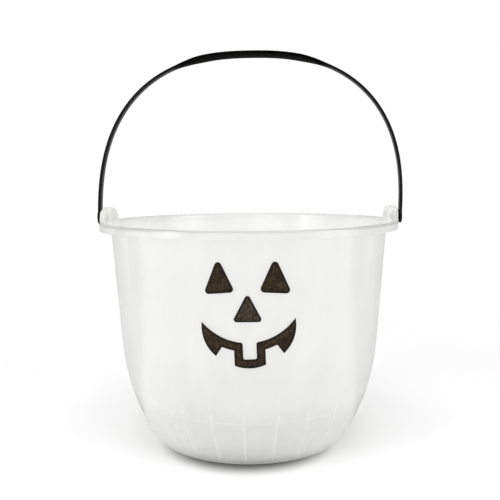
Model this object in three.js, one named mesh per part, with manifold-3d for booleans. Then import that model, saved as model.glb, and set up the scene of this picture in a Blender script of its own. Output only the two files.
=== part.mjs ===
// A trick-or-treat pail: a bowl moulded in clear plastic with a rolled rim and two hollow ears,
// a flat black bail that snaps into the ears, and a four-piece stuck-on pumpkin face.
// Millimetres, +Z up. The pail stands on z = 0 around the Z axis, its face towards -Y.

import * as THREE from "three";
import { mergeVertices } from "three/addons/utils/BufferGeometryUtils.js";
import Module from "manifold-3d";

// Bowl
const rimRadius = 105;
const rimHeight = 153.8;
const rimDrop = 5.2; // height of the rolled rim, flange and skirt together
const rimThickness = 1.5;
const rimRounding = 1.6;
const skirtChamfer = 0.5;
const flangeWidth = 7.9; // from the outside of the wall to the outside of the rim
const draftAngle = 4.15; // degrees that the upper wall leans outwards
const shoulderHeight = 72; // where the straight wall ends and the belly begins
const bellyPull = 42.5; // how far the wall's line runs on below the shoulder to steer the belly
const footRadius = 67.5;
const footWidth = 9;
const footRecess = 0.8;
const footRounding = 1.3;
const wallThickness = 1.5;
const floorThickness = 1.8;
const floorFillet = 4;

// Ribs and witness ring inside the belly
const ribCount = 25;
const ribWidth = 1.5;
const ribProud = 0.7;
const ribBottom = 5;
const ribTop = 39;
const ringHeight = 33;
const ringWidth = 1.2;
const ringProud = 0.35;

// Ears
const earWidth = 34;
const earRise = 10.1; // height of the ear above the rim
const earDepth = 7.8;
const earWall = 1.4;
const earRounding = 2.4;
const pivotRise = 3; // height of the pivot above the rim

// Bail handle
const bailRise = 114.3; // from the pivot to the top of the grip
const bailStraight = 2.6; // straight run above the pivot
const bailSquareness = 2.46; // exponent of the superellipse, 2 would be an ellipse
const bailSway = 2.5; // how far the soft strap stands over to the right at its top
const strapWidth = 7.6;
const strapThickness = 1.8;
const strapEndRadius = 5.2;
const gripWidth = 21.4;
const gripLength = 66;
const gripShoulder = 23; // length over which the strap widens to the grip
const studRadius = 2.5;
const studHeadRadius = 3.7;
const studHeadLength = 2.6;
const studTipRadius = 2.1;
const collarRadius = 4;
const collarLength = 1.25;
const studClearance = 0.3; // between stud and hole, all round
const earClearance = 0.4; // between the ear's wall and the collar or the head

// Face
const faceTurn = 1.9; // degrees that the face sits to the right of the pail's front
const filmThickness = 0.3;
const filmGap = 0.3;
const eyeSpacing = 33.5;
const eyeHeight = 116.4; // of the eyes' lower edges
const leftEye = { base: 19, height: 21.9, lean: 1.2, rounding: 2.1 }; // lean: top towards +X
const leftEyeTilt = 4.9; // degrees
const rightEye = { base: 20, height: 21.9, lean: -2.1, rounding: 2.2 };
const rightEyeTilt = -4.5;
const noseHeight = 99;
const noseSize = { base: 18.6, height: 18, rounding: 1.7 };
const mouthHeight = 86.2; // of the upper lip's lowest point
const mouthShift = 1;
const mouthTilt = 1.9;
const lipRadius = 36.2;
const bandWidth = 5.5;
const mouthTipX = 28.2;
const cheekPull = { x: 29.8, y: 0.3 };
const fangTip = { x: 20.5, y: -7.8 };
const fangRootX = 16.6;
const toothHalf = 4.1;
const toothDepth = 10.2;
const chinHalf = 9.4;
const chinDepth = 15.8;
const chinSag = 1.6;

// Fineness
const turnSegments = 75; // a multiple of the ribs, so that each rib lies within one facet
const curveSteps = 8;
const cornerSteps = 2;
const bailSteps = 34;
const pinSides = 20;

const upright = Math.PI / 2;
const radians = THREE.MathUtils.degToRad;
const point = (x, y) => new THREE.Vector2(x, y);

const pivotHeight = rimHeight + pivotRise;
const skirtBottom = rimHeight - rimDrop;
const flangeBottom = rimHeight - rimThickness;
const throatRadius = rimRadius - flangeWidth;
const lean = Math.tan(radians(draftAngle));
const shoulderRadius = throatRadius - lean * (flangeBottom - shoulderHeight);
const strapInside = rimRadius + earClearance + collarLength;
const bailHalf = strapInside + strapThickness;

const wasm = await Module();
wasm.setup();

// Closed three.js geometry to a solid that can be joined and cut
function solid(geometry) {
  const bare = geometry.index ? geometry.toNonIndexed() : geometry.clone();
  bare.deleteAttribute("normal");
  bare.deleteAttribute("uv");
  const merged = mergeVertices(bare, 1e-4);
  const index = merged.index.array;
  const triVerts = [];
  for (let i = 0; i < index.length; i += 3) {
    const [a, b, c] = index.subarray(i, i + 3);
    if (a !== b && b !== c && c !== a) triVerts.push(a, b, c);
  }
  return new wasm.Manifold(
    new wasm.Mesh({
      numProp: 3,
      vertProperties: merged.attributes.position.array,
      triVerts: new Uint32Array(triVerts),
    }),
  );
}

function mesh(name, body, material) {
  const { vertProperties, triVerts } = body.getMesh();
  const geometry = new THREE.BufferGeometry();
  geometry.setAttribute("position", new THREE.BufferAttribute(vertProperties, 3));
  geometry.setIndex(new THREE.BufferAttribute(triVerts, 1));
  geometry.computeVertexNormals();
  const made = new THREE.Mesh(geometry, material);
  made.name = name;
  return made;
}

// Turns a profile of (radius, height) points around Z. A facet is centred on the front.
function revolve(profile) {
  const half = Math.PI / turnSegments;
  const turned = new THREE.LatheGeometry(profile, turnSegments, half, 2 * Math.PI);
  return solid(turned.rotateX(upright));
}

function ring(inner, outer, bottom, top) {
  return revolve([
    point(inner, bottom),
    point(outer, bottom),
    point(outer, top),
    point(inner, top),
    point(inner, bottom),
  ]);
}

// Extrudes an outline drawn in (y, z) from x = start towards +X
function alongX(outline, start, length, rounding = 0) {
  const geometry = new THREE.ExtrudeGeometry(outline, {
    depth: length - 2 * rounding,
    curveSegments: 2 * curveSteps,
    bevelEnabled: rounding > 0,
    bevelThickness: rounding,
    bevelSize: rounding,
    bevelOffset: -rounding,
    bevelSegments: cornerSteps,
  });
  geometry.translate(0, 0, start + rounding);
  const turn = new THREE.Matrix4().makeBasis(
    new THREE.Vector3(0, 1, 0),
    new THREE.Vector3(0, 0, 1),
    new THREE.Vector3(1, 0, 0),
  );
  return solid(geometry.applyMatrix4(turn));
}

// Cylinder or cone along X at the pivot's height
function pin(start, end, radiusStart, radiusEnd = radiusStart) {
  const cone = new THREE.CylinderGeometry(radiusEnd, radiusStart, end - start, pinSides);
  cone.rotateZ(-upright).translate((start + end) / 2, 0, pivotHeight);
  return solid(cone);
}

// Moves each point of an open profile sideways, to the left of its direction
function offset(points, distance) {
  return points.map((p, i) => {
    const before = points[Math.max(i - 1, 0)];
    const after = points[Math.min(i + 1, points.length - 1)];
    const side = after.clone().sub(before).normalize();
    return point(p.x - side.y * distance, p.y + side.x * distance);
  });
}

function corner(from, sharp, to, steps = cornerSteps) {
  return new THREE.QuadraticBezierCurve(from, sharp, to).getPoints(steps);
}

const bellyCurve = new THREE.QuadraticBezierCurve(
  point(footRadius, 0),
  point(shoulderRadius - lean * bellyPull, shoulderHeight - bellyPull),
  point(shoulderRadius, shoulderHeight),
);

// Share of the belly curve at which it passes a height
function bellyShare(height) {
  let [low, high] = [0, 1];
  for (let i = 0; i < 30; i++) {
    const middle = (low + high) / 2;
    if (bellyCurve.getPoint(middle).y < height) low = middle;
    else high = middle;
  }
  return low;
}

// Point of the belly, moved into the wall by an inset
function bellyPoint(share, inset) {
  const along = bellyCurve.getTangent(share);
  return bellyCurve.getPoint(share).add(point(-along.y, along.x).multiplyScalar(inset));
}

// Points of the belly from one height up to another
function belly(bottom, top, steps, inset = 0) {
  const [low, high] = [bellyShare(bottom), bellyShare(top)];
  return Array.from({ length: steps + 1 }, (_, i) =>
    bellyPoint(low + ((high - low) * i) / steps, inset),
  );
}

// Inside of the belly up to the ribs' tops, in rows that the wall and the ribs share
function ribbedRows(inset, ringInset = inset) {
  return [
    ...belly(ribBottom, ringHeight - ringWidth / 2, curveSteps / 2, inset),
    bellyPoint(bellyShare(ringHeight), ringInset),
    ...belly(ringHeight + ringWidth / 2, ribTop, 1, inset),
  ];
}

function bowl() {
  const floorTop = footRecess + floorThickness;
  const skirtInside = rimRadius - rimThickness;
  const foot = belly(footRounding, shoulderHeight, curveSteps);
  const inside = [
    ...ribbedRows(wallThickness, wallThickness + ringProud),
    ...belly(ribTop, shoulderHeight, curveSteps / 2, wallThickness).slice(1),
  ];
  const lip = throatRadius - wallThickness;
  const outside = [
    point(0, footRecess),
    point(footRadius - footWidth - footRecess, footRecess),
    point(footRadius - footWidth, 0),
    ...corner(point(footRadius - footRounding, 0), point(footRadius, 0), foot[0]),
    ...foot.slice(1),
  ];
  const rim = [
    ...corner(
      point(throatRadius - lean * rimRounding, flangeBottom - rimRounding),
      point(throatRadius, flangeBottom),
      point(throatRadius + rimRounding, flangeBottom),
    ),
    point(skirtInside, flangeBottom),
    point(skirtInside, skirtBottom + skirtChamfer),
    point(skirtInside + skirtChamfer, skirtBottom),
    point(rimRadius - skirtChamfer, skirtBottom),
    point(rimRadius, skirtBottom + skirtChamfer),
    ...corner(
      point(rimRadius, rimHeight - rimRounding),
      point(rimRadius, rimHeight),
      point(rimRadius - rimRounding, rimHeight),
    ),
    ...corner(
      point(lip + rimThickness, rimHeight),
      point(lip, rimHeight),
      point(lip, rimHeight - rimThickness),
    ),
  ];
  const floor = corner(
    inside[0],
    point(inside[0].x - floorFillet / 4, floorTop),
    point(inside[0].x - floorFillet, floorTop),
  );
  return revolve([...outside, ...rim, ...inside.reverse(), ...floor.slice(1), point(0, floorTop)]);
}

// One rib in the (radius, height) plane, sunk into the wall and run out at its ends
function ribOutline() {
  const back = ribbedRows(wallThickness / 2);
  const front = ribbedRows(wallThickness + ribProud);
  return new THREE.Shape([...back, ...front.slice(1, -1).reverse()]);
}

function ribs() {
  const rib = new THREE.ExtrudeGeometry(ribOutline(), { depth: ribWidth, bevelEnabled: false });
  rib.translate(0, 0, -ribWidth / 2).rotateX(upright);
  return Array.from({ length: ribCount }, (_, i) =>
    solid(rib.clone().rotateZ(-upright + (2 * Math.PI * i) / ribCount)),
  );
}

// Half ellipse over the rim, drawn in (y, z), with legs down to a height
function earOutline(inset, bottom) {
  const half = earWidth / 2 - inset;
  const outline = new THREE.Shape();
  outline.moveTo(half, bottom);
  outline.lineTo(half, rimHeight);
  outline.absellipse(0, rimHeight, half, earRise - inset, 0, Math.PI);
  outline.lineTo(-half, bottom);
  return outline;
}

// Ear at +X: rounded over outside, and flush with the rim's skirt
function ear() {
  const sunk = rimThickness / 4; // into the flange
  const block = alongX(
    earOutline(0, flangeBottom - 2 * earRounding),
    rimRadius - earDepth,
    earDepth,
    earRounding,
  );
  const place = ring(
    rimRadius - earDepth,
    rimRadius,
    flangeBottom + sunk,
    rimHeight + 2 * earRise,
  );
  return block.intersect(place);
}

// Hollow of the ear, open below into the channel under the flange
function earPocket() {
  const start = rimRadius - earDepth;
  const block = alongX(earOutline(earWall, skirtBottom), start, earDepth);
  const place = ring(
    start + earWall,
    rimRadius - earWall,
    flangeBottom - rimRounding,
    rimHeight + earRise,
  );
  return block.intersect(place);
}

function bucket() {
  const hole = pin(
    rimRadius - 2 * earWall,
    rimRadius + earWall,
    studRadius + studClearance,
  );
  let body = bowl();
  for (const rib of ribs()) body = body.add(rib);
  const holed = earPocket().add(hole);
  for (const side of [0, 180]) {
    const turn = [0, 0, side];
    body = body.add(ear().rotate(turn)).subtract(holed.rotate(turn));
  }
  return body;
}

// Outer line of the bail in (x, z), from the right pivot over the top to the left one
class BailCurve extends THREE.Curve {
  getPoint(share, target = new THREE.Vector2()) {
    const angle = Math.PI * share;
    const power = 2 / bailSquareness;
    const arch = bailRise - bailStraight;
    const across = Math.sign(Math.cos(angle)) * Math.abs(Math.cos(angle)) ** power;
    const up = Math.abs(Math.sin(angle)) ** power;
    return target.set(bailHalf * across, pivotHeight + bailStraight + arch * up);
  }
}

// Lets the strap stand over to the right, more so towards its top
function sway(p) {
  const rise = (p.y - pivotHeight) / bailRise;
  return point(p.x + bailSway * Math.sin(upright * rise), p.y);
}

function bailBand() {
  const arch = new BailCurve().getSpacedPoints(bailSteps);
  const line = [point(bailHalf, pivotHeight), ...arch, point(-bailHalf, pivotHeight)];
  const outer = line.map(sway);
  const inner = offset(line, strapThickness).map(sway);
  const band = new THREE.ExtrudeGeometry(new THREE.Shape([...outer, ...inner.reverse()]), {
    depth: gripWidth,
    bevelEnabled: false,
  });
  return solid(band.rotateX(upright).translate(0, gripWidth / 2, 0));
}

// Strap and grip seen from above
function bailPlan() {
  const strap = strapWidth / 2;
  const grip = gripWidth / 2;
  const full = gripLength / 2;
  const narrow = full + gripShoulder;
  const middle = full + gripShoulder / 2;
  const far = 2 * bailHalf;
  const edge = new THREE.Path();
  edge.moveTo(far, strap);
  edge.lineTo(narrow, strap);
  edge.bezierCurveTo(middle, strap, middle, grip, full, grip);
  edge.lineTo(-full, grip);
  edge.bezierCurveTo(-middle, grip, -middle, strap, -narrow, strap);
  edge.lineTo(-far, strap);
  const back = edge.getPoints(curveSteps);
  const front = back.map((p) => point(p.x, -p.y)).reverse();
  const height = pivotHeight + 2 * bailRise;
  const plan = new THREE.ExtrudeGeometry(new THREE.Shape([...back, ...front]), {
    depth: height,
    bevelEnabled: false,
  });
  return solid(plan.translate(bailSway, 0, 0));
}

// Round end of the strap with its collar, shank and snap head, at +X
function bailEnd() {
  const face = rimRadius + earClearance;
  const shoulder = rimRadius - earWall - earClearance;
  const tip = shoulder - studHeadLength;
  return pin(strapInside, bailHalf, strapEndRadius)
    .add(pin(face, strapInside + strapThickness / 2, collarRadius))
    .add(pin(shoulder - studHeadLength / 4, face + collarLength / 2, studRadius))
    .add(pin(tip, shoulder, studTipRadius, studHeadRadius));
}

function bail() {
  let body = bailBand().intersect(bailPlan());
  for (const side of [0, 180]) body = body.add(bailEnd().rotate([0, 0, side]));
  return body;
}

// Shape with each sharp corner rounded to a radius, the corners counterclockwise
function roundedShape(corners, radius) {
  const shape = new THREE.Shape();
  corners.forEach((sharp, i) => {
    const before = corners.at(i - 1).clone().sub(sharp).normalize();
    const after = corners[(i + 1) % corners.length].clone().sub(sharp).normalize();
    const inward = before.clone().add(after).normalize();
    const depth = radius / Math.sin(before.angleTo(after) / 2);
    const middle = sharp.clone().addScaledVector(inward, depth);
    shape.absarc(middle.x, middle.y, radius, before.angle() + upright, after.angle() - upright);
  });
  return shape;
}

function triangle({ base, height, rounding, lean = 0 }) {
  return roundedShape(
    [point(-base / 2, 0), point(base / 2, 0), point(lean, height)],
    rounding,
  );
}

// Right half of the mouth, from the middle of the tooth's end round to the middle of the chin
function mouthHalf() {
  const lip = (x) => lipRadius - Math.sqrt(lipRadius ** 2 - x ** 2);
  const bandRadius = lipRadius + bandWidth;
  const band = (x) => lipRadius - Math.sqrt(bandRadius ** 2 - x ** 2);
  const round = toothHalf / 3;
  const chinCorner = chinSag - chinDepth;
  const side = new THREE.Path();
  side.moveTo(0, -toothDepth);
  side.lineTo(toothHalf - round, -toothDepth);
  side.quadraticCurveTo(toothHalf, -toothDepth, toothHalf, round - toothDepth);
  side.lineTo(toothHalf, lip(toothHalf) - round);
  side.quadraticCurveTo(toothHalf, lip(toothHalf), toothHalf + round, lip(toothHalf + round));
  side.absarc(
    0,
    lipRadius,
    lipRadius,
    Math.asin((toothHalf + round) / lipRadius) - upright,
    Math.asin(mouthTipX / lipRadius) - upright,
  );
  side.quadraticCurveTo(cheekPull.x, cheekPull.y, fangTip.x, fangTip.y);
  side.lineTo(fangRootX, band(fangRootX));
  side.absarc(
    0,
    lipRadius,
    bandRadius,
    Math.asin(fangRootX / bandRadius) - upright,
    Math.asin(chinHalf / bandRadius) - upright,
    true,
  );
  side.lineTo(chinHalf, chinCorner + round / 2);
  side.quadraticCurveTo(chinHalf, chinCorner, chinHalf - round / 2, chinCorner);
  side.quadraticCurveTo(chinHalf / 2, -chinDepth, 0, -chinDepth);
  return side.getPoints(cornerSteps + 1);
}

function mouthShape() {
  const right = mouthHalf();
  const left = right.slice(1, -1).map((p) => point(-p.x, p.y));
  return new THREE.Shape([...right, ...left.reverse()]);
}

// Thin film that follows the outside of the wall behind the face
function film() {
  const low = belly(shoulderHeight / 2, shoulderHeight, curveSteps / 2);
  const wall = [...low, point(throatRadius, flangeBottom)];
  const back = offset(wall, -filmGap);
  const front = offset(wall, -filmGap - filmThickness);
  return revolve([...back.reverse(), ...front, back[0]]);
}

// A piece of the film cut along an outline drawn in (x, z) as seen from the front
function facePiece(shape, x, z, tilt = 0) {
  const cutter = new THREE.ExtrudeGeometry(shape, {
    depth: 2 * throatRadius,
    curveSegments: cornerSteps + 1,
    bevelEnabled: false,
  });
  cutter.rotateZ(radians(tilt)).rotateX(upright).translate(x, 0, z).rotateZ(radians(faceTurn));
  return film().intersect(solid(cutter));
}

const clearPlastic = new THREE.MeshStandardMaterial({
  color: 0xeceeea,
  roughness: 0.25,
  metalness: 0,
  transparent: true,
  opacity: 0.45,
});
const blackPlastic = new THREE.MeshStandardMaterial({
  color: 0x131312,
  roughness: 0.4,
  metalness: 0,
});
const faceFilm = new THREE.MeshStandardMaterial({
  color: 0x453c30,
  roughness: 0.6,
  metalness: 0,
});

const group = new THREE.Group();
group.add(
  mesh("bucket", bucket(), clearPlastic),
  mesh("handle", bail(), blackPlastic),
  mesh(
    "eye_left",
    facePiece(triangle(leftEye), -eyeSpacing / 2, eyeHeight, leftEyeTilt),
    faceFilm,
  ),
  mesh(
    "eye_right",
    facePiece(triangle(rightEye), eyeSpacing / 2, eyeHeight, rightEyeTilt),
    faceFilm,
  ),
  mesh("nose", facePiece(triangle(noseSize), 0, noseHeight), faceFilm),
  mesh("mouth", facePiece(mouthShape(), mouthShift, mouthHeight, mouthTilt), faceFilm),
);

export default group;
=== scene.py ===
# Looks of a trick-or-treat pail: a milky clear bowl with a rolled rim and two hollow ears, a black
# bail that snaps into them, and a stuck-on pumpkin face. Metres, +Z up, face towards -Y.

import math

import bmesh
import bpy
from mathutils import Matrix, Vector

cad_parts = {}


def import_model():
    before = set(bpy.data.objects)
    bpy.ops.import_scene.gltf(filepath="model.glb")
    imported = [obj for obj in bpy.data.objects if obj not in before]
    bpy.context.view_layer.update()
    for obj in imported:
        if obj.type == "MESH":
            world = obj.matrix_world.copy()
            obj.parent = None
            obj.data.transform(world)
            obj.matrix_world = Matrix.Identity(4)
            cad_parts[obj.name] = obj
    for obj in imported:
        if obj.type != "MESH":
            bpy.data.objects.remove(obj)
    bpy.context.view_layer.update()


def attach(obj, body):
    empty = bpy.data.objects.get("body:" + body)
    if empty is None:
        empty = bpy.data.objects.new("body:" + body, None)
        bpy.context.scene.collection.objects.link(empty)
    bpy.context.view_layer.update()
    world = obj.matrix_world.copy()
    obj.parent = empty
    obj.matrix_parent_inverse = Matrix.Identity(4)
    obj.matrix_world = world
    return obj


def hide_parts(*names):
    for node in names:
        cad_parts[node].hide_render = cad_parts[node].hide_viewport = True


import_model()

mm = 0.001

# Bowl
rim_radius = 105 * mm
rim_height = 153.8 * mm
rim_drop = 5.2 * mm
rim_thickness = 1.5 * mm
rim_rounding = 1.3 * mm
lip_rounding = 1.82 * mm
throat_radius = 97.1 * mm
draft_angle = math.radians(4.15)
shoulder_height = 72 * mm
belly_pull = 42.5 * mm
foot_radius = 67.5 * mm
foot_width = 9 * mm
foot_recess = 0.8 * mm
foot_rounding = 1.6 * mm
wall = 1.5 * mm
floor_thickness = 1.8 * mm
floor_fillet = 5 * mm

# Ribs and witness ring inside the belly. A rib has its width at rib_radius. A reach is in half
# widths: that far from its middle, a rib or the ring has run out into the wall.
rib_count = 25
rib_width = 1.6 * mm
rib_radius = 78 * mm
rib_reach = 1.3
rib_proud = 0.7 * mm
rib_foot = 1.8 * mm
rib_bottom = 4.5 * mm
rib_top = 39.5 * mm
rib_run_out = 3 * mm
ring_height = 33 * mm
ring_width = 1.2 * mm
ring_proud = 0.35 * mm
ring_reach = 1.25

# Ears
ear_width = 34 * mm
ear_rise = 10.1 * mm
ear_depth = 7.8 * mm
ear_wall = 1.4 * mm
ear_rounding = 2.4 * mm
pivot_rise = 3 * mm
stud_clearance = 0.3 * mm

# Bail handle
bail_rise = 114.3 * mm
bail_straight = 2.6 * mm
bail_squareness = 2.46
bail_sway = 2.5 * mm
strap_width = 7.6 * mm
strap_thickness = 1.8 * mm
strap_end_radius = 5.2 * mm
grip_width = 21.4 * mm
grip_length = 66 * mm
grip_shoulder = 23 * mm
strap_edge = 0.35 * mm
stud_radius = 2.5 * mm
stud_head_radius = 3.7 * mm
stud_head_length = 2.6 * mm
stud_tip_radius = 2.1 * mm
collar_radius = 4 * mm
collar_length = 1.25 * mm
ear_clearance = 0.4 * mm

# Face. An eye or the nose is (base, height, rounding, shift of its tip).
face_turn = math.radians(1.9)
film_thickness = 0.16 * mm
film_gap = 0.06 * mm
film_edge = 0.05 * mm
film_cell = 0.7 * mm
film_border = 1.9 * mm
eye_spacing = 33.5 * mm
eye_height = 116.4 * mm
left_eye = (19 * mm, 21.9 * mm, 2.1 * mm, 1.2 * mm)
left_eye_tilt = math.radians(4.9)
right_eye = (20 * mm, 21.9 * mm, 2.2 * mm, -2.1 * mm)
right_eye_tilt = math.radians(-4.5)
nose_height = 99 * mm
nose_size = (18.6 * mm, 18 * mm, 1.7 * mm, 0)
nose_wear = 0.3
mouth_height = 86.2 * mm
mouth_shift = 1 * mm
mouth_tilt = math.radians(1.9)
lip_radius = 36.2 * mm
band_width = 5.5 * mm
mouth_tip = 28.2 * mm
cheek_pull = (29.8 * mm, 0.3 * mm)
fang_tip = (20.5 * mm, -7.8 * mm)
fang_root = 16.6 * mm
tooth_half = 4.1 * mm
tooth_depth = 10.2 * mm
tooth_rounding = tooth_half / 3
chin_half = 9.4 * mm
chin_depth = 15.8 * mm
chin_sag = 1.6 * mm

# Meshes. An edge sharper than the crease angle stays sharp, and vertices closer than a weld are
# merged. The middle of a rounded edge lies round_share of its radius in from both faces.
crease_angle = math.radians(32)
film_crease = math.radians(60)
weld = 0.0001 * mm
weld_after_cuts = 0.002 * mm
round_share = 0.3

# Marks on the pail, which its material reads. A mark is 0 at its first place and 1 at its second.
# Radii are from the rim's outer line or its throat, heights from the rim's top or the skirt's foot.
# Ribs are marked from rib_mark_gap above the bowl's floor.
outer_mark = (-4 * mm, -2.5 * mm)
lip_mark = (0.6 * mm, -0.4 * mm)
top_mark_below = (-1.76 * mm, -0.66 * mm)
top_mark_above = (0.45 * mm, 0.15 * mm)
skirt_mark = (0.65 * mm, 0.15 * mm)
ear_mark = (0, 0.8 * mm)
rib_mark_gap = 0.1 * mm

# How strongly a mark shows: on the lip, the skirt, the ring, and a rib on the wall's outer face
lip_seen = 0.45
skirt_seen = 0.12
ring_seen = 0.3
rib_seen = 0.2

# Clear plastic. Milk is the share of the light that it scatters. Low is the zone from the ring down,
# blurred upwards, and grazing is where the surface is seen edge on.
plastic_ior = 1.49
milk_low, milk_high = 0.38, 0.46
rib_milk = 0.95
edge_milk = 0.2
ear_milk = 1.1
grazing_power = 3
grazing_milk = 0.5
low_grazing_milk = 2.5
low_blur = 7 * mm
wall_tone = (0.94, 0.94, 0.938, 1)
# Painted shade: the low zone's tone is darkened for the pail's shadow seen through its lower wall
low_shade_tone = (0.835, 0.84, 0.822, 1)
ear_tone = (0.92, 0.92, 0.9, 1)
# Painted shade: dark lines along the rim's rounded edges and at the skirt's foot
edge_shade_tone = (0.6, 0.6, 0.58, 1)
rib_tone = (0.99, 0.99, 0.985, 1)
clear_tone = (0.98, 0.98, 0.975, 1)
wall_translucence, rib_translucence = 0.5, 0.97
gloss_roughness = 0.16
facing_gloss = 0.05
grazing_gloss, edge_gloss = 0.45, 0.1
ear_gloss = 0.1

# Black plastic
black_tones = ((0.001, 0.001, 0.0008, 1), (0.003, 0.003, 0.0025, 1))
grip_roughness, strap_roughness = 0.7, 0.38
grip_specular, strap_specular = 0.01, 0.12
satin_fade = 7 * mm

# Face film's material
film_ior = 1.45
film_specular = 0.12
film_tones = ((0.008, 0.0052, 0.0022, 1), (0.048, 0.032, 0.0155, 1))
scratch_tone = (0.1, 0.066, 0.038, 1)
worn_tone = (0.12, 0.115, 0.1, 1)
border_tone = (0.005, 0.0035, 0.002, 1)

# Floor and surround. The contact shade is round: its middle, radius, blur and tone.
floor_radius = 6
floor_drop = 0.2 * mm
floor_fade = (0.28, 0.5)
floor_tone = 0.85
floor_lift = 0.12
contact_shade = ((-0.8 * mm, -22.5 * mm, 0), 43.8 * mm, 20.5 * mm, 0.17)
occlusion_reach = 30 * mm
occlusion_tone = 0.93
under_tone = 0.85
sky_strength = 0.6

# Boards round the pail, as (azimuth in degrees, distance, width, tone), and a mat behind it
boards = [
    (97, 0.5, 0.18, 0.08),
    (-97, 0.5, 0.18, 0.08),
    (140, 0.6, 0.62, 0.3),
    (-140, 0.6, 0.62, 0.3),
]
board_height = 1
mat_size = (1.2, 0.7)
mat_rise = 1 * mm
mat_tone = 0.42

# Soft boxes, as (name, place, size, power), all aimed at one place
soft_boxes = [
    ("left_box", (-1.3, -0.8, 0.65), (0.6, 1.2), 8),
    ("right_box", (1.3, -0.65, 0.65), (0.7, 1.2), 6.5),
    ("top_box", (0, -0.3, 1.6), (1.2, 1.0), 9),
    ("front_box", (-0.4, -1.7, 0.6), (1.0, 0.8), 2.6),
]
lamp_aim = (0, 0, 0.1)

# Camera, in the photograph's place. The sensor is in millimetres, as Blender counts it.
camera_distance = 0.5
camera_height = 0.1847
camera_azimuth = math.radians(2.6)
camera_pitch = math.radians(-5.98)
camera_yaw = math.radians(-0.09)
camera_roll = math.radians(-0.47)
focal_pixels = 697
photo_width = 500
sensor_width = 36
clip_start = 0.01

# Worked out from the sizes above
pivot_height = rim_height + pivot_rise
skirt_bottom = rim_height - rim_drop
flange_bottom = rim_height - rim_thickness
floor_height = foot_recess + floor_thickness
lean = math.tan(draft_angle)
shoulder_radius = throat_radius - lean * (flange_bottom - shoulder_height)
rib_pitch = 2 * math.pi / rib_count
rib_half_turn = rib_width / (2 * rib_radius)
strap_inside = rim_radius + ear_clearance + collar_length
bail_half = strap_inside + strap_thickness


# Curves


def smooth_step(value):
    """0 below 0, 1 above 1, and smooth between them."""
    held = min(max(value, 0), 1)
    return held * held * (3 - 2 * held)


def fade(value, start, places):
    """Smooth from 0 at the first place to 1 at the second, both measured from a start."""
    zero, one = places
    return smooth_step((value - start - zero) / (one - zero))


def bezier(start, pull, end, share):
    """Point on a curve that leaves its start, and reaches its end, in line with the pull."""
    rest = 1 - share
    return tuple(
        rest * rest * a + 2 * rest * share * b + share * share * c
        for a, b, c in zip(start, pull, end)
    )


def corner(start, sharp, end, steps=5):
    """Points round a soft corner in place of a sharp one."""
    return [bezier(start, sharp, end, i / steps) for i in range(steps + 1)]


def unit_circle(segments):
    """Evenly spaced points on a circle of radius 1."""
    angles = [2 * math.pi * i / segments for i in range(segments)]
    return [(math.cos(angle), math.sin(angle)) for angle in angles]


# Meshes


def mesh_object(name, bm, smooth_angle=crease_angle):
    """Turns a bmesh into an object with clean outward faces, shaded smooth below an angle."""
    bmesh.ops.remove_doubles(bm, verts=bm.verts, dist=weld)
    bmesh.ops.recalc_face_normals(bm, faces=bm.faces)
    mesh = bpy.data.meshes.new(name)
    bm.to_mesh(mesh)
    bm.free()
    mesh.shade_smooth()
    mesh.set_sharp_from_angle(angle=smooth_angle)
    made = bpy.data.objects.new(name, mesh)
    bpy.context.scene.collection.objects.link(made)
    return made


def boolean(target, tool, operation):
    """Cuts or joins target with tool, and deletes tool."""
    modifier = target.modifiers.new("cut", "BOOLEAN")
    modifier.operation = operation
    modifier.solver = "EXACT"
    modifier.object = tool
    bpy.context.view_layer.update()
    depsgraph = bpy.context.evaluated_depsgraph_get()
    result = bpy.data.meshes.new_from_object(target.evaluated_get(depsgraph))
    target.modifiers.clear()
    old = target.data
    target.data = result
    bpy.data.meshes.remove(old)
    old = tool.data
    bpy.data.objects.remove(tool)
    bpy.data.meshes.remove(old)


def finish_mesh(target):
    """Merges stray vertices after the cuts and shades the result smooth."""
    bm = bmesh.new()
    bm.from_mesh(target.data)
    bmesh.ops.remove_doubles(bm, verts=bm.verts, dist=weld_after_cuts)
    bmesh.ops.dissolve_degenerate(bm, dist=weld_after_cuts / 2, edges=bm.edges)
    bmesh.ops.recalc_face_normals(bm, faces=bm.faces)
    bm.to_mesh(target.data)
    bm.free()
    target.data.shade_smooth()
    target.data.set_sharp_from_angle(angle=crease_angle)


def rings_between(bm, rings, closed=False):
    """Faces between rings of vertices. A ring of one vertex is a pole."""
    following = rings[1:] + rings[:1] if closed else rings[1:]
    for low, high in zip(rings, following):
        count = max(len(low), len(high))
        for i in range(count):
            j = (i + 1) % count
            face = [low[i % len(low)], low[j % len(low)], high[j % len(high)], high[i % len(high)]]
            corners = list(dict.fromkeys(face))
            if len(corners) > 2:
                bm.faces.new(corners)


def extruded(name, outline, depth, place, rounding=0.0, segments=4):
    """Extrudes an outline in (x, y) along z, rounds its rims, and places it by a matrix."""
    bm = bmesh.new()
    low = [bm.verts.new((x, y, 0)) for x, y in outline]
    high = [bm.verts.new((x, y, depth)) for x, y in outline]
    bm.faces.new(low)
    bm.faces.new(high)
    rings_between(bm, [low, high])
    bmesh.ops.recalc_face_normals(bm, faces=bm.faces)
    if rounding:
        caps = [e for e in bm.edges if abs(e.verts[0].co.z - e.verts[1].co.z) < 1e-9]
        bmesh.ops.bevel(
            bm, geom=caps, offset=rounding, segments=segments, profile=0.5, affect="EDGES",
        )
    bm.transform(place)
    return mesh_object(name, bm)


# Bowl


def belly_point(share, inset=0.0):
    """Point (radius, height) of the belly's outer line, moved into the wall by an inset."""
    foot = (foot_radius, 0)
    pull = (shoulder_radius - lean * belly_pull, shoulder_height - belly_pull)
    top = (shoulder_radius, shoulder_height)
    radius, height = bezier(foot, pull, top, share)
    along = Vector((
        (1 - share) * (pull[0] - foot[0]) + share * (top[0] - pull[0]),
        (1 - share) * (pull[1] - foot[1]) + share * (top[1] - pull[1]),
    )).normalized()
    return radius - along.y * inset, height + along.x * inset


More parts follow.
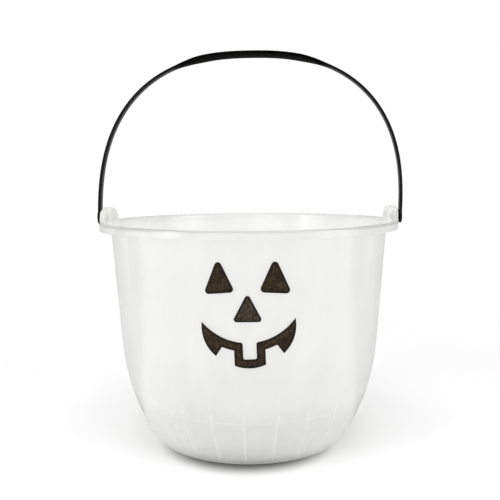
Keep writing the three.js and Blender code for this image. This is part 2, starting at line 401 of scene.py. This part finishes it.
def belly_share(height, inset=0.0):
    """Share of the belly's line at which it passes a height."""
    low, high = 0.0, 1.0
    for _ in range(30):
        middle = (low + high) / 2
        if belly_point(middle, inset)[1] < height:
            low = middle
        else:
            high = middle
    return low


def wall_radius(height):
    """Outer radius of the wall at a height."""
    if height > shoulder_height:
        return shoulder_radius + lean * (height - shoulder_height)
    return belly_point(belly_share(height))[0]


def heights(*stops):
    """Evenly spaced heights through the stops, each given as (height, steps from the last)."""
    result = [stops[0][0]]
    for (last, _), (stop, steps) in zip(stops, stops[1:]):
        result += [last + (stop - last) * i / steps for i in range(1, steps + 1)]
    return result


def bowl_profile():
    """Section of the bowl as (radius, height), from the middle below to the middle above.

    It comes in two runs: outside and over the rim, then down the inside, which carries the ribs.
    """
    foot_start = belly_point(belly_share(foot_rounding))
    outside = [
        (0, foot_recess),
        (foot_radius * 0.45, foot_recess),
        (foot_radius - foot_width - foot_recess, foot_recess),
        *corner(
            (foot_radius - foot_width - foot_recess / 2, foot_recess / 2),
            (foot_radius - foot_width, 0),
            (foot_radius - foot_width + foot_recess / 2, 0),
            2,
        ),
        (foot_radius - foot_width / 2, 0),
        *corner((foot_radius - foot_rounding, 0), (foot_radius, 0), foot_start),
    ]
    outside += [
        belly_point(belly_share(h))
        for h in heights(
            (foot_rounding, 0),
            (ring_height - ring_width, 20),
            (ring_height + ring_width, 8),
            (rib_top, 5),
            (shoulder_height, 14),
        )[1:]
    ]
    outside += [
        (wall_radius(h), h)
        for h in heights((shoulder_height, 0), (flange_bottom - 2 * rim_rounding, 14))[1:]
    ]
    skirt_inside = rim_radius - rim_thickness
    edge = rim_thickness / 2
    rim = [
        *corner(
            (wall_radius(flange_bottom - rim_rounding), flange_bottom - rim_rounding),
            (throat_radius, flange_bottom),
            (throat_radius + rim_rounding, flange_bottom),
        ),
        ((throat_radius + skirt_inside) / 2, flange_bottom),
        *corner(
            (skirt_inside - edge, flange_bottom),
            (skirt_inside, flange_bottom),
            (skirt_inside, flange_bottom - edge),
            3,
        ),
        (skirt_inside, (flange_bottom + skirt_bottom) / 2),
        *corner(
            (skirt_inside, skirt_bottom + edge),
            (skirt_inside, skirt_bottom),
            (skirt_inside + edge, skirt_bottom),
            4,
        ),
        *corner(
            (rim_radius - edge, skirt_bottom),
            (rim_radius, skirt_bottom),
            (rim_radius, skirt_bottom + edge),
            4,
        )[1:],
        (rim_radius, skirt_bottom + 2 * edge),
        (rim_radius, rim_height - 2.5 * edge),
        *corner(
            (rim_radius, rim_height - rim_rounding),
            (rim_radius, rim_height),
            (rim_radius - rim_rounding, rim_height),
            6,
        ),
        (rim_radius - 2 * rim_rounding, rim_height),
    ]
    lip = throat_radius - wall
    rim += [
        (lip + lip_rounding + rim_rounding, rim_height),
        *corner(
            (lip + lip_rounding, rim_height),
            (lip, rim_height),
            (lip - lean * lip_rounding, rim_height - lip_rounding),
            7,
        ),
    ]
    inside = [
        (wall_radius(h) - wall, h)
        for h in heights((rim_height - 3 * rim_rounding, 0), (shoulder_height, 14))
    ]
    ribbed = heights(
        (shoulder_height, 0),
        (rib_top + 1 * mm, 14),
        (rib_top - rib_run_out, 8),
        (ring_height + ring_width, 2),
        (ring_height - ring_width, 8),
        (rib_bottom + 1.5 * mm, 18),
    )
    inside += [belly_point(belly_share(h, wall), wall) for h in ribbed[1:]]
    last = inside[-1]
    inside += corner(
        last,
        (last[0] - floor_fillet * 0.25, floor_height),
        (last[0] - floor_fillet, floor_height),
        8,
    )[1:]
    inside += [(r, floor_height) for r in (last[0] - 3 * floor_fillet, foot_radius * 0.4, 0)]
    return outside + rim, inside


def rib_share(off):
    """Share of a rib's depth at a distance from its middle, in half widths."""
    return smooth_step(rib_reach - abs(off))


def rib_columns():
    """Azimuths from the front, closer together over each rib, with each one's share of the rib."""
    over = [-rib_reach, -0.9, -0.45, 0, 0.45, 0.9, rib_reach]
    gaps = 6
    start = rib_half_turn * rib_reach
    end = rib_pitch - start
    columns = []
    for rib in range(rib_count):
        middle = rib * rib_pitch
        columns += [(middle + rib_half_turn * off, rib_share(off)) for off in over]
        columns += [(middle + start + (end - start) * i / gaps, 0) for i in range(1, gaps)]
    return columns


def rib_depth(height):
    """How far a rib stands in at a height, run out at its two ends."""
    top = smooth_step((rib_top - height) / rib_run_out)
    bottom = smooth_step((height - rib_foot) / (rib_bottom - rib_foot))
    return rib_proud * top * bottom


def ring_depth(height):
    """How far the witness ring stands in at a height."""
    off = abs(height - ring_height) / (0.5 * ring_width)
    return ring_proud * smooth_step(ring_reach - off)


def bowl():
    """The section turned round the axis, its inner line drawn in by the ribs and the ring."""
    outside, inside = bowl_profile()
    columns = rib_columns()
    bm = bmesh.new()

    def ring(radius, height, ribbed):
        if radius < 1e-6:
            return [bm.verts.new((0, 0, height))]
        result = []
        for azimuth, share in columns:
            r = radius
            if ribbed and height < shoulder_height:
                r -= max(share * rib_depth(height), ring_depth(height))
            result.append(bm.verts.new((r * math.sin(azimuth), -r * math.cos(azimuth), height)))
        return result

    rings = [ring(r, h, False) for r, h in outside] + [ring(r, h, True) for r, h in inside]
    rings_between(bm, rings)
    return mesh_object("pail_bowl", bm)


def annulus(name, inner, outer, bottom, top, segments=300):
    """A ring of rectangular section round the axis."""
    bm = bmesh.new()
    circle = unit_circle(segments)
    corners = [(inner, bottom), (outer, bottom), (outer, top), (inner, top)]
    rings = [[bm.verts.new((r * x, r * y, h)) for x, y in circle] for r, h in corners]
    rings_between(bm, rings, closed=True)
    return mesh_object(name, bm)


def along_x(side):
    """Turns a drawing in (y, z) so that its depth runs outwards along X on one side."""
    basis = Matrix(((0, 0, 1, 0), (1, 0, 0, 0), (0, 1, 0, 0), (0, 0, 0, 1)))
    return Matrix.Rotation(0 if side > 0 else math.pi, 4, "Z") @ basis


def ear_outline(inset, bottom, steps=72):
    """Arch of an ear in (y, z), moved in by an inset."""
    half = ear_width / 2 - inset
    rise = ear_rise - inset
    arch = [
        (half * math.cos(math.pi * i / steps), rim_height + rise * math.sin(math.pi * i / steps))
        for i in range(steps + 1)
    ]
    return [(half, bottom), *arch, (-half, bottom)]


def pin(name, side, start, end, radius_start, radius_end, segments=40, rounding=0.0):
    """Cylinder or cone along X at the pivot's height. Only a cylinder is rounded."""
    circle = unit_circle(segments)
    bm = bmesh.new()
    stops = [(start, radius_start), (end, radius_end)]
    if rounding:
        soft = round_share * rounding
        stops = [
            (start, radius_start - rounding),
            (start + soft, radius_start - soft),
            (start + rounding, radius_start),
            (end - rounding, radius_end),
            (end - soft, radius_end - soft),
            (end, radius_end - rounding),
        ]
    rings = [[bm.verts.new((r * y, r * z + pivot_height, x)) for y, z in circle] for x, r in stops]
    bm.faces.new(rings[0])
    bm.faces.new(rings[-1])
    rings_between(bm, rings)
    bm.transform(along_x(side))
    return mesh_object(name, bm)


def ear(side):
    """A rounded arch over the rim, cut by the rim's own cylinder."""
    start = rim_radius - ear_depth
    place = along_x(side) @ Matrix.Translation((0, 0, start))
    bottom = flange_bottom - 2 * ear_rounding
    block = extruded("ear", ear_outline(0, bottom), ear_depth, place, ear_rounding, 10)
    kept_bottom = flange_bottom + rim_thickness / 4
    kept_top = 1.2 * rim_height
    kept = annulus("kept", start - 1 * mm, rim_radius, kept_bottom, kept_top)
    boolean(block, kept, "INTERSECT")
    return block


def ear_pocket(side):
    """The hollow of an ear, open below."""
    start = rim_radius - ear_depth
    place = along_x(side) @ Matrix.Translation((0, 0, start))
    block = extruded("pocket", ear_outline(ear_wall, skirt_bottom), ear_depth, place)
    kept = annulus(
        "kept", start + ear_wall, rim_radius - ear_wall,
        flange_bottom - rim_rounding, rim_height + ear_rise,
    )
    boolean(block, kept, "INTERSECT")
    return block


def pail():
    """The bowl with two ears, hollowed from below and bored for the studs."""
    body = bowl()
    for side in (1, -1):
        boolean(body, ear(side), "UNION")
    for side in (1, -1):
        boolean(body, ear_pocket(side), "DIFFERENCE")
        radius = stud_radius + stud_clearance
        hole = pin("hole", side, rim_radius - 2 * ear_wall, rim_radius + ear_wall, radius, radius)
        boolean(body, hole, "DIFFERENCE")
    finish_mesh(body)
    mark_pail(body)
    body.name = "pail"
    return body


def mark_pail(body):
    """Stores three shares for the material: how far a point lies on a rib, an edge or an ear."""

    def on_rib(radius, azimuth, height):
        if not floor_height + rib_mark_gap < height < shoulder_height:
            return 0
        off = ((azimuth + rib_pitch / 2) % rib_pitch - rib_pitch / 2) / rib_half_turn
        rib = rib_share(off) * rib_depth(height) / rib_proud
        ring = ring_seen * ring_depth(height) / ring_proud
        seen = 1 if radius < wall_radius(height) - wall / 2 else rib_seen
        return seen * max(rib, ring)

    # The edge share places painted shade on the rim's rounded edges and the skirt's foot, with denser
    # milk and duller gloss there
    def on_edge(radius, height):
        outer = fade(radius, rim_radius, outer_mark)
        lip = lip_seen * fade(radius, throat_radius, lip_mark)
        top = fade(height, rim_height, top_mark_below) * fade(height, rim_height, top_mark_above)
        foot = skirt_seen * fade(height, skirt_bottom, skirt_mark)
        return max(outer * top, lip * top, outer * foot)

    marks = {"rib": [], "edge": [], "ear": []}
    for vertex in body.data.vertices:
        x, y, height = vertex.co
        radius = math.hypot(x, y)
        marks["rib"].append(on_rib(radius, math.atan2(x, -y), height))
        marks["edge"].append(on_edge(radius, height))
        marks["ear"].append(fade(height, rim_height, ear_mark))
    for name, values in marks.items():
        body.data.attributes.new(name, "FLOAT", "POINT").data.foreach_set("value", values)


# Bail handle


def bail_point(share, inset=0.0):
    """Point (x, z) of the bail's outer line before its sway, moved inwards by an inset."""
    power = 2 / bail_squareness

    def at(s):
        angle = math.pi * s
        across = math.copysign(abs(math.cos(angle)) ** power, math.cos(angle))
        up = abs(math.sin(angle)) ** power
        return Vector((
            bail_half * across,
            pivot_height + bail_straight + (bail_rise - bail_straight) * up,
        ))

    here = at(share)
    step = 1e-4
    along = (at(min(share + step, 1)) - at(max(share - step, 0))).normalized()
    return here + inset * Vector((-along.y, along.x))


def swayed(point):
    """Leans a point (x, z) of the bail to +X, most at its top."""
    rise = (point.y - pivot_height) / bail_rise
    return Vector((point.x + bail_sway * math.sin(math.pi / 2 * rise), point.y))


def strap_half_width(x):
    """Half of the strap's width at a place x of the swayed bail."""
    narrow, full = strap_width / 2, grip_width / 2
    away = (abs(x - bail_sway) - grip_length / 2) / grip_shoulder
    return full + (narrow - full) * smooth_step(away)


def bail_stations(count=150, fineness=4000):
    """Evenly spaced shares of the bail's line, by its real length."""
    fine = [i / fineness for i in range(fineness + 1)]
    points = [bail_point(s) for s in fine]
    lengths = [0.0]
    for a, b in zip(points, points[1:]):
        lengths.append(lengths[-1] + (b - a).length)
    shares = []
    k = 0
    for i in range(count + 1):
        wanted = lengths[-1] * i / count
        while k < len(lengths) - 2 and lengths[k + 1] < wanted:
            k += 1
        span = lengths[k + 1] - lengths[k]
        shares.append(fine[k] + (fine[k + 1] - fine[k]) * (wanted - lengths[k]) / span)
    return shares


def strap():
    """The strap and grip as one lofted band with rounded edges."""
    soft = round_share * strap_edge
    edge = [(strap_edge, 0), (soft, soft), (0, strap_edge)]

    def end(side):
        return Vector((side * bail_half, pivot_height)), Vector((side * strap_inside, pivot_height))

    stops = [(bail_point(s), bail_point(s, strap_thickness)) for s in bail_stations()]
    bm = bmesh.new()
    rings = []
    for outer, inner in [end(1), *stops, end(-1)]:
        outer, inner = swayed(outer), swayed(inner)
        half = strap_half_width((outer.x + inner.x) / 2)
        through = (inner - outer).normalized()
        section = [(outer + through * deep, half - aside) for aside, deep in edge]
        section += [(inner - through * deep, half - aside) for aside, deep in reversed(edge)]
        ring = [bm.verts.new((p.x, y, p.y)) for p, y in section]
        ring += [bm.verts.new((p.x, -y, p.y)) for p, y in reversed(section)]
        rings.append(ring)
    bm.faces.new(rings[0])
    bm.faces.new(rings[-1])
    rings_between(bm, rings)
    return mesh_object("bail_strap", bm)


def bail():
    """The strap with a pad, collar, shank and snap head at each end."""
    body = strap()
    face = rim_radius + ear_clearance
    shoulder = rim_radius - ear_wall - ear_clearance
    tip = shoulder - stud_head_length
    sunk = 0.4 * mm
    for side in (1, -1):
        pad = pin(
            "pad", side, strap_inside, bail_half, strap_end_radius, strap_end_radius, 48, strap_edge,
        )
        collar = pin("collar", side, face, strap_inside + sunk, collar_radius, collar_radius)
        shank = pin("shank", side, shoulder - sunk, face + sunk, stud_radius, stud_radius)
        head = pin("head", side, tip, shoulder, stud_tip_radius, stud_head_radius)
        for part in (pad, collar, shank, head):
            boolean(body, part, "UNION")
    finish_mesh(body)
    body.name = "bail"
    return body


# Face


def rounded(corners, radius, steps=12):
    """Outline with each sharp corner rounded to a radius, the corners counterclockwise."""
    result = []
    for i, sharp in enumerate(corners):
        sharp = Vector(sharp)
        before = (Vector(corners[i - 1]) - sharp).normalized()
        after = (Vector(corners[(i + 1) % len(corners)]) - sharp).normalized()
        middle = sharp + (before + after).normalized() * radius / math.sin(before.angle(after) / 2)
        turn = math.pi - before.angle(after)
        arm = Vector((-before.y, before.x)) * radius
        result += [middle + Matrix.Rotation(turn * k / steps, 2) @ arm for k in range(steps + 1)]
    return result


def triangle(base, height, rounding, tip):
    """Rounded triangle on a level base, its tip moved aside."""
    return rounded([(-base / 2, 0), (base / 2, 0), (tip, height)], rounding)


def arc(radius, first, last, steps=20):
    """Arc of a circle round the lips' centre, between two values of x."""
    start, end = (math.asin(x / radius) for x in (first, last))
    angles = [start + (end - start) * i / steps for i in range(steps + 1)]
    return [(radius * math.sin(a), lip_radius - radius * math.cos(a)) for a in angles]


def mouth_outline():
    """Right half of the smile, from its tooth past the cheek and fang to the chin, and its mirror."""
    band_radius = lip_radius + band_width
    lip = arc(lip_radius, tooth_half + tooth_rounding, mouth_tip)
    band = arc(band_radius, fang_root, chin_half, 10)
    gum = lip_radius - math.sqrt(lip_radius**2 - tooth_half**2)
    chin_corner = chin_sag - chin_depth
    half_round = tooth_rounding / 2
    right = [
        (0, -tooth_depth),
        *corner(
            (tooth_half - tooth_rounding, -tooth_depth),
            (tooth_half, -tooth_depth),
            (tooth_half, tooth_rounding - tooth_depth),
        ),
        *corner((tooth_half, gum - tooth_rounding), (tooth_half, gum), lip[0]),
        *lip[1:],
        *corner(lip[-1], cheek_pull, fang_tip, 24)[1:],
        *band,
        *corner(
            (chin_half, chin_corner + half_round),
            (chin_half, chin_corner),
            (chin_half - half_round, chin_corner),
        ),
        *corner(
            (chin_half - half_round, chin_corner),
            (chin_half / 2, -chin_depth),
            (0, -chin_depth),
            10,
        )[1:],
    ]
    return right + [(-x, z) for x, z in reversed(right[1:-1])]


def outline_distance(place, points):
    """Distance from a place to the nearest side of a closed outline."""
    best = math.inf
    for start, end in zip(points, points[1:] + points[:1]):
        side = end - start
        share = min(max((place - start).dot(side) / side.length_squared, 0), 1)
        best = min(best, (place - start - side * share).length)
    return best


def film(name, outline, x, z, tilt=0.0, worn=0.0):
    """A thin film on the wall: the outline is filled in cells, thickened and laid on the wall."""
    turn = Matrix.Rotation(tilt, 2)
    points = [turn @ Vector(p) + Vector((x, z)) for p in outline]
    bm = bmesh.new()
    edge = bm.verts.layers.float.new("edge")
    wear = bm.verts.layers.float.new("worn")
    bm.faces.new([bm.verts.new((p.x, 0, p.y)) for p in points])
    for axis in (0, 2):
        low = min(v.co[axis] for v in bm.verts)
        high = max(v.co[axis] for v in bm.verts)
        for i in range(1, int((high - low) / film_cell) + 1):
            place, normal = Vector(), Vector()
            place[axis] = low + i * film_cell
            normal[axis] = 1
            bmesh.ops.bisect_plane(
                bm, geom=bm.verts[:] + bm.edges[:] + bm.faces[:], plane_co=place, plane_no=normal,
            )
    bmesh.ops.triangulate(bm, faces=[f for f in bm.faces if len(f.verts) > 4])
    backs = list(bm.verts)
    rim = [e for e in bm.edges if e.is_boundary]
    on_rim = {v for e in rim for v in e.verts}
    paired = bmesh.ops.duplicate(bm, geom=bm.verts[:] + bm.edges[:] + bm.faces[:])["vert_map"]
    for e in rim:
        a, b = e.verts
        bm.faces.new((a, b, paired[b], paired[a]))

    def lay(v, proud):
        v.co.y = -math.sqrt((wall_radius(v.co.z) + proud) ** 2 - v.co.x ** 2)

    for back in backs:
        front = paired[back]
        away = outline_distance(back.co.xz, points)
        back[edge] = front[edge] = 1 - smooth_step(away / film_border)
        back[wear] = front[wear] = worn
        lay(back, film_gap)
        lay(front, film_gap + film_thickness - (film_edge if back in on_rim else 0))
    bm.transform(Matrix.Rotation(face_turn, 4, "Z"))
    return mesh_object(name, bm, film_crease)


# Materials


def add(tree, kind, inputs=None, **settings):
    """Adds a node. An input is a plain value, or the output that it is linked to."""
    made = tree.nodes.new(kind)
    for key, value in settings.items():
        setattr(made, key, value)
    for key, value in (inputs or {}).items():
        if isinstance(value, bpy.types.NodeSocket):
            tree.links.new(value, made.inputs[key])
        else:
            made.inputs[key].default_value = value
    return made


def material(name):
    """A new material with no nodes yet, and its node tree."""
    made = bpy.data.materials.new(name)
    made.use_nodes = True
    made.node_tree.nodes.clear()
    return made, made.node_tree


def object_place(tree):
    return add(tree, "ShaderNodeTexCoord").outputs["Object"]


def mark(tree, name):
    """A share that is stored on the mesh."""
    return add(tree, "ShaderNodeAttribute", attribute_name=name).outputs["Fac"]


def stretched_noise(tree, scale, detail=3.0, roughness=0.5):
    """Noise in the object's own space, stretched by a scale for each axis."""
    mapped = add(tree, "ShaderNodeMapping", {"Vector": object_place(tree), "Scale": scale}).outputs[0]
    return add(
        tree, "ShaderNodeTexNoise",
        {"Vector": mapped, "Scale": 1.0, "Detail": detail, "Roughness": roughness},
    ).outputs["Fac"]


def calc(tree, operation, *values, clamp=False):
    """Works out one to three values with a Math node."""
    return add(
        tree, "ShaderNodeMath", dict(enumerate(values)), operation=operation, use_clamp=clamp,
    ).outputs[0]


def spread(tree, value, low, high, start=0.3, end=0.7, interpolation="LINEAR"):
    """Maps a value from start..end, by default a noise's usual range, to low..high."""
    return add(
        tree, "ShaderNodeMapRange",
        {"Value": value, "From Min": start, "From Max": end, "To Min": low, "To Max": high},
        interpolation_type=interpolation,
    ).outputs[0]


def between(tree, share, low, high):
    """Maps a share of 0..1 to low..high."""
    return spread(tree, share, low, high, 0, 1)


def layered(tree, tone, *layers):
    """Lays further tones over a tone, each by its own share."""
    for share, over in layers:
        tone = add(
            tree, "ShaderNodeMix", {"Factor": share, "A": tone, "B": over}, data_type="RGBA",
        ).outputs["Result"]
    return tone


def relief(tree, height, strength, distance):
    """Normals bent by a height."""
    inputs = {"Height": height, "Strength": strength, "Distance": distance}
    return add(tree, "ShaderNodeBump", inputs).outputs[0]


def mixed(tree, share, first, second):
    """Mixes two shaders."""
    return add(tree, "ShaderNodeMixShader", {0: share, 1: first, 2: second}).outputs[0]


def clear_plastic():
    """Milky see-through plastic: each face lets part of the light straight on and scatters the rest."""
    made, tree = material("clear_plastic")
    rib, edge, ear = mark(tree, "rib"), mark(tree, "edge"), mark(tree, "ear")
    flow = stretched_noise(tree, (38, 38, 1.6), 2)
    cloud = stretched_noise(tree, (22, 22, 12), 2)
    peel = stretched_noise(tree, (900, 900, 900), 2)
    normal = relief(tree, calc(tree, "MULTIPLY_ADD", flow, 6, peel), 0.1, 0.04 * mm)
    level = add(tree, "ShaderNodeSeparateXYZ", {0: object_place(tree)}).outputs["Z"]
    # The low zone darkens the tone as painted shade, and thickens the milk where the wall is seen edge
    # on
    low_start, low_end = ring_height + 2 * low_blur, ring_height - low_blur
    low = spread(tree, level, 0, 1, low_start, low_end, "SMOOTHSTEP")
    facing = add(tree, "ShaderNodeLayerWeight", {"Blend": 0.5}).outputs["Facing"]
    grazing = calc(tree, "POWER", facing, grazing_power)

    # Two noises added run from about 0.75 to 1.25
    milk = spread(tree, calc(tree, "ADD", flow, cloud), milk_low, milk_high, 0.75, 1.25)
    milk = calc(tree, "MULTIPLY_ADD", rib, rib_milk, milk)
    milk = calc(tree, "MULTIPLY_ADD", edge, edge_milk, milk)
    dense = between(tree, low, grazing_milk, low_grazing_milk)
    milk = calc(tree, "MULTIPLY_ADD", grazing, dense, milk, clamp=True)
    milk = calc(tree, "MULTIPLY", milk, between(tree, ear, 1, ear_milk))

    # edge_shade_tone paints shade on the rim's rounded edges and at the skirt's foot
    tone = layered(
        tree, wall_tone, (low, low_shade_tone), (ear, ear_tone), (edge, edge_shade_tone), (rib, rib_tone),
    )
    front = add(tree, "ShaderNodeBsdfPrincipled", {
        "Base Color": tone,
        "Roughness": 0.5,
        "IOR": plastic_ior,
        "Specular IOR Level": 0.0,
        "Normal": normal,
    }).outputs[0]
    through = add(tree, "ShaderNodeBsdfTranslucent", {"Color": tone}).outputs[0]
    scatter = mixed(tree, between(tree, rib, wall_translucence, rib_translucence), front, through)
    clear = add(tree, "ShaderNodeBsdfTransparent", {"Color": clear_tone}).outputs[0]
    body = mixed(tree, milk, clear, scatter)

    gloss = add(tree, "ShaderNodeBsdfGlossy", {
        "Color": (1, 1, 1, 1),
        "Roughness": gloss_roughness,
        "Normal": normal,
    }).outputs[0]
    dulled = between(tree, edge, grazing_gloss, edge_gloss)
    mirror = calc(tree, "MULTIPLY_ADD", grazing, dulled, facing_gloss)
    mirror = calc(tree, "MULTIPLY", mirror, between(tree, ear, 1, ear_gloss))
    add(tree, "ShaderNodeOutputMaterial", {"Surface": mixed(tree, mirror, body, gloss)})
    return made


def black_plastic():
    """Black plastic, satin on the strap and dull on the grip."""
    made, tree = material("black_plastic")
    grain = stretched_noise(tree, (1400, 1400, 1400), 3)
    drawn = stretched_noise(tree, (60, 900, 900), 3)
    across = add(tree, "ShaderNodeSeparateXYZ", {0: object_place(tree)}).outputs["X"]
    away = calc(tree, "ABSOLUTE", calc(tree, "SUBTRACT", across, bail_sway))
    grip_end = grip_length / 2 + grip_shoulder
    on_strap = spread(tree, away, 0, 1, grip_end - satin_fade, grip_end)
    dark, light = black_tones
    body = add(tree, "ShaderNodeBsdfPrincipled", {
        "Base Color": layered(tree, dark, (spread(tree, drawn, 0, 1), light)),
        "Roughness": between(tree, on_strap, grip_roughness, strap_roughness),
        "IOR": plastic_ior,
        "Specular IOR Level": between(tree, on_strap, grip_specular, strap_specular),
        "Normal": relief(tree, grain, 0.3, 0.05 * mm),
    }).outputs[0]
    add(tree, "ShaderNodeOutputMaterial", {"Surface": body})
    return made


def face_film():
    """Brown-black film with blotches, specks and fine scratches, a darker border and lighter wear."""
    made, tree = material("face_film")
    brushed = stretched_noise(tree, (260, 260, 1800), 4, 0.65)
    speck = stretched_noise(tree, (1500, 1500, 1500), 3, 0.7)
    blotch = stretched_noise(tree, (240, 240, 240), 2)
    grain = calc(tree, "ADD", brushed, speck)
    mottled = calc(tree, "MULTIPLY_ADD", blotch, 0.7, grain)
    cells = {"Vector": object_place(tree), "Scale": (130, 130, 75)}
    line = add(tree, "ShaderNodeTexVoronoi", {
        "Vector": add(tree, "ShaderNodeMapping", cells).outputs[0], "Scale": 1.0,
    }, feature="DISTANCE_TO_EDGE").outputs["Distance"]
    line = spread(tree, line, 1, 0, 0.015, 0.05)
    scratch = calc(tree, "MULTIPLY", line, spread(tree, speck, 0, 0.8, 0.45, 0.65))
    worn = calc(tree, "MULTIPLY", mark(tree, "worn"), spread(tree, speck, 0, 1, 0.42, 0.6))
    dark, light = film_tones
    tone = layered(
        tree, dark,
        (spread(tree, mottled, 0, 1, 1.15, 1.6), light),
        (scratch, scratch_tone),
        (worn, worn_tone),
        (mark(tree, "edge"), border_tone),
    )
    body = add(tree, "ShaderNodeBsdfPrincipled", {
        "Base Color": tone,
        "Roughness": spread(tree, speck, 0.5, 0.65),
        "IOR": film_ior,
        "Specular IOR Level": film_specular,
        "Normal": relief(tree, grain, 0.4, 0.04 * mm),
    }).outputs[0]
    add(tree, "ShaderNodeOutputMaterial", {"Surface": body})
    return made


# Stage, light and camera


def seen_ray(tree):
    """1 for rays from the eye, gloss or glass, which meet a white surround."""
    path = add(tree, "ShaderNodeLightPath").outputs
    seen = calc(tree, "ADD", path["Is Camera Ray"], path["Is Glossy Ray"])
    return calc(tree, "ADD", seen, path["Is Transmission Ray"], clamp=True)


def round_shade(tree, place, shift, radius, blur, tone):
    """A round shade on the floor, its middle shifted, fading from a tone to 1."""
    shifted = add(
        tree, "ShaderNodeVectorMath", {0: place, 1: shift}, operation="SUBTRACT",
    ).outputs[0]
    out = add(tree, "ShaderNodeVectorMath", {0: shifted}, operation="LENGTH").outputs["Value"]
    return spread(tree, out, tone, 1, radius, radius + blur, "SMOOTHSTEP")


def stage_material():
    """Pale floor: white to the eye, glass and gloss, yet it keeps the pail's shadow."""
    made, tree = material("pale_floor")
    place = object_place(tree)
    away = add(tree, "ShaderNodeVectorMath", {0: place}, operation="LENGTH").outputs["Value"]
    seen = seen_ray(tree)
    # Painted shade: occlusion darkening and a round contact shadow, shifted to the front, are painted
    # into the floor's tone; under the pail's middle they go no darker than under_tone
    close = add(
        tree, "ShaderNodeAmbientOcclusion", {"Distance": occlusion_reach}, samples=16,
    ).outputs["AO"]
    close = spread(tree, close, occlusion_tone, 1, 0.2, 0.9)
    shade = calc(tree, "MULTIPLY", close, round_shade(tree, place, *contact_shade))
    under = spread(tree, away, under_tone, 0, 0.6 * foot_radius, foot_radius - foot_width)
    shade = calc(tree, "MAXIMUM", shade, under)
    lift = calc(tree, "MULTIPLY", calc(tree, "MULTIPLY", seen, floor_lift), shade)
    tone = calc(tree, "MULTIPLY", shade, floor_tone)
    diffuse = add(tree, "ShaderNodeBsdfDiffuse", {"Color": tone}).outputs[0]
    glow = add(tree, "ShaderNodeEmission", {"Strength": lift}).outputs[0]
    near = add(tree, "ShaderNodeAddShader", {0: diffuse, 1: glow}).outputs[0]
    white = add(tree, "ShaderNodeEmission", {"Strength": 1.0}).outputs[0]
    far = calc(tree, "MULTIPLY", spread(tree, away, 0, 1, *floor_fade), seen)
    add(tree, "ShaderNodeOutputMaterial", {"Surface": mixed(tree, far, near, white)})
    return made


def stage():
    """The floor, a little below the pail's foot."""
    bm = bmesh.new()
    bmesh.ops.create_circle(bm, cap_ends=True, radius=floor_radius, segments=128)
    floor = mesh_object("floor", bm)
    floor.location.z = -floor_drop
    floor.data.materials.append(stage_material())


def world():
    """White to the eye, gloss and glass, and a dimmer white light to the rest."""
    made = bpy.data.worlds.new("studio")
    made.use_nodes = True
    tree = made.node_tree
    tree.nodes.clear()
    strength = between(tree, seen_ray(tree), sky_strength, 1)
    sky = add(tree, "ShaderNodeBackground", {"Color": (1, 1, 1, 1), "Strength": strength}).outputs[0]
    add(tree, "ShaderNodeOutputWorld", {"Surface": sky})
    bpy.context.scene.world = made


def flag(place, tone):
    """A grey board that only gloss meets: a unit square, placed by a matrix."""
    bm = bmesh.new()
    bmesh.ops.create_grid(bm, x_segments=1, y_segments=1, size=0.5)
    bm.transform(place)
    made, tree = material("flag")
    dark = add(tree, "ShaderNodeEmission", {"Color": (tone, tone, tone, 1), "Strength": 1.0}).outputs[0]
    add(tree, "ShaderNodeOutputMaterial", {"Surface": dark})
    board = mesh_object("flag", bm)
    board.data.materials.append(made)
    board.visible_camera = False
    board.visible_diffuse = False
    board.visible_shadow = False
    board.visible_transmission = False


def flags():
    """Boards beside and behind the pail and a mat behind it: they draw the pail's darker sides."""
    for turn, distance, width, tone in boards:
        place = (
            Matrix.Rotation(math.radians(turn), 4, "Z")
            @ Matrix.Translation((0, -distance, board_height / 2))
            @ Matrix.Rotation(math.pi / 2, 4, "X")
            @ Matrix.Diagonal((width, board_height, 1, 1))
        )
        flag(place, tone)
    width, depth = mat_size
    place = Matrix.Translation((0, depth / 2, mat_rise)) @ Matrix.Diagonal((width, depth, 1, 1))
    flag(place, mat_tone)


def soft_box(name, place, size, power):
    lamp = bpy.data.lights.new(name, "AREA")
    lamp.shape = "RECTANGLE"
    lamp.size, lamp.size_y = size
    lamp.energy = power
    made = bpy.data.objects.new(name, lamp)
    made.location = place
    made.rotation_euler = (Vector(lamp_aim) - Vector(place)).to_track_quat("-Z", "Y").to_euler()
    bpy.context.scene.collection.objects.link(made)


def camera():
    lens = bpy.data.cameras.new("camera")
    lens.sensor_width = sensor_width
    lens.lens = sensor_width * focal_pixels / photo_width
    lens.clip_start = clip_start
    made = bpy.data.objects.new("camera", lens)
    place = Matrix.Rotation(camera_azimuth, 4, "Z") @ Vector((0, -camera_distance, camera_height))
    turn = (
        Matrix.Rotation(camera_azimuth + camera_yaw, 4, "Z")
        @ Matrix.Rotation(math.pi / 2 + camera_pitch, 4, "X")
        @ Matrix.Rotation(camera_roll, 4, "Z")
    )
    made.matrix_world = Matrix.Translation(place) @ turn
    bpy.context.scene.collection.objects.link(made)
    bpy.context.scene.camera = made


def dress(piece, finish, body, node):
    """Gives a piece its material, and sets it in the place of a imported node."""
    piece.data.materials.clear()
    piece.data.materials.append(finish)
    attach(piece, body)
    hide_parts(node)


camera()
world()
for box in soft_boxes:
    soft_box(*box)
stage()
flags()
bpy.context.scene.view_settings.view_transform = "Standard"

dress(pail(), clear_plastic(), "bucket", "bucket")
dress(bail(), black_plastic(), "handle", "handle")
films = {
    "eye_left": film(
        "film_eye_left", triangle(*left_eye), -eye_spacing / 2, eye_height, left_eye_tilt,
    ),
    "eye_right": film(
        "film_eye_right", triangle(*right_eye), eye_spacing / 2, eye_height, right_eye_tilt,
    ),
    "nose": film("film_nose", triangle(*nose_size), 0, nose_height, worn=nose_wear),
    "mouth": film("film_mouth", mouth_outline(), mouth_shift, mouth_height, mouth_tilt),
}
film_finish = face_film()
for node, piece in films.items():
    dress(piece, film_finish, "bucket", node)
